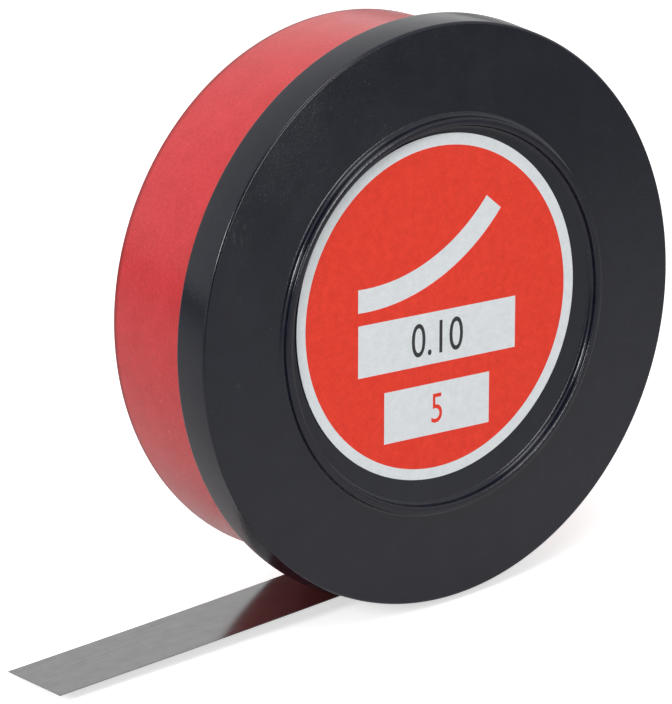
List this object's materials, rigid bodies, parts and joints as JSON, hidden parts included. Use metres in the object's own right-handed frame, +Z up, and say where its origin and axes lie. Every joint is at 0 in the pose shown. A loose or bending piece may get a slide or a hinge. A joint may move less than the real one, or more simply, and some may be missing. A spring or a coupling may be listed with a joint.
{
  "type": "shim stock roll",
  "caption": "Coil of thin steel shim strip in a round two-part plastic case with a round label, and a strip tail leaving through the wall.",
  "frame": {"origin": "centre of the case's flat back face, on the case's axis", "axes": "+Z up from the table, +X to the right seen from the labelled front, which faces -Y; the case's axis leans back, so that the roll stands on its lid's skirt, its back rim and the strip's tip"},
  "size_m": [0.1078, 0.0347, 0.0847],
  "materials": {
    "lid_black": "satin moulded",
    "cup_red": "satin moulded",
    "label_print": "printed, semi-matt",
    "strip_steel": "cold rolled, bright"
  },
  "bodies": {
    "root": {"lid": "lid_black", "cup": "cup_red", "steel_strip": "strip_steel", "label": "label_print"}
  },
  "joints": []
}
